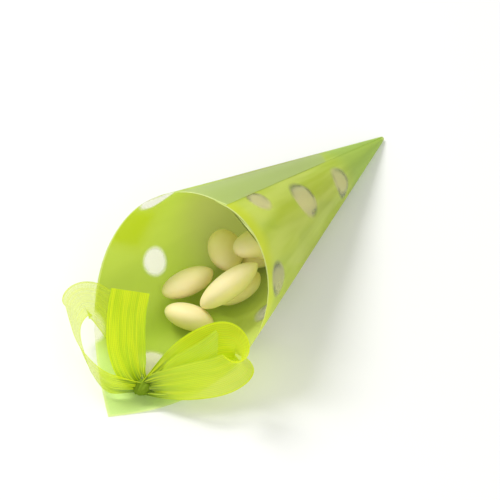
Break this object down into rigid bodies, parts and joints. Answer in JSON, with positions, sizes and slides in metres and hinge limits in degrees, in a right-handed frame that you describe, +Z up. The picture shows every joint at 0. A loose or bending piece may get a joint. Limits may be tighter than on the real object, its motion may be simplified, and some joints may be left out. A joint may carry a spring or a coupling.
{
  "type": "cellophane cone bag",
  "caption": "Cone bag rolled from one square of tinted film, tied with a ribbon bow at the flap of its mouth and filled with sugared almonds, lying on its side",
  "frame": {"origin": "on the underside of the film, on the sheet's diagonal, 100 mm from the cone's tip", "axes": "+Z up from the surface the cone rests on, +Y along the resting diagonal towards the tip, +X to the right when looking towards the tip"},
  "size_m": [0.0739, 0.1813, 0.0533],
  "materials": {
    "film": "frosted translucent lime film with clear polka dots",
    "ribbon": "sheer lime organza",
    "sugar": "pale cream sugar coating, matt"
  },
  "bodies": {
    "root": {"film_cone": "film", "ribbon_bow": "ribbon", "sugared_almond_01": "sugar", "sugared_almond_02": "sugar", "sugared_almond_03": "sugar", "sugared_almond_04": "sugar", "sugared_almond_05": "sugar", "sugared_almond_06": "sugar", "sugared_almond_07": "sugar", "sugared_almond_08": "sugar", "sugared_almond_09": "sugar", "sugared_almond_10": "sugar", "sugared_almond_11": "sugar", "sugared_almond_12": "sugar"}
  },
  "joints": []
}
